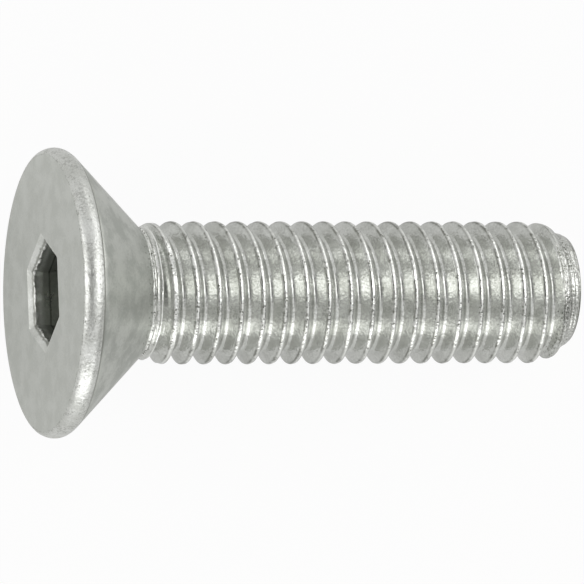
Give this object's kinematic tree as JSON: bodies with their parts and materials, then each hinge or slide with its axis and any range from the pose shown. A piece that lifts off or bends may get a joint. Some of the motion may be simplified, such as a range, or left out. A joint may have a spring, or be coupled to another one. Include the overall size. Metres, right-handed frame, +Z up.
{
  "type": "countersunk socket screw",
  "caption": "Countersunk machine screw with a conical head, a hexagon socket in its flat face and a thread that runs all the way up to the head, lying on its side.",
  "frame": {"origin": "middle of the screw's box, on the surface that it lies on", "axes": "+X is from the head to the point in plan, +Y is level and square to the screw, +Z is up. The screw's own axis dips 8.4 degrees towards +X, as it rests on the head's rim and on the thread near the point"},
  "size_m": [0.0312, 0.0158, 0.0157],
  "materials": {
    "steel": "satin stainless steel, tumbled after cold heading and thread rolling, with fine pits and small handling marks"
  },
  "bodies": {
    "root": {"screw": "steel"}
  },
  "joints": []
}
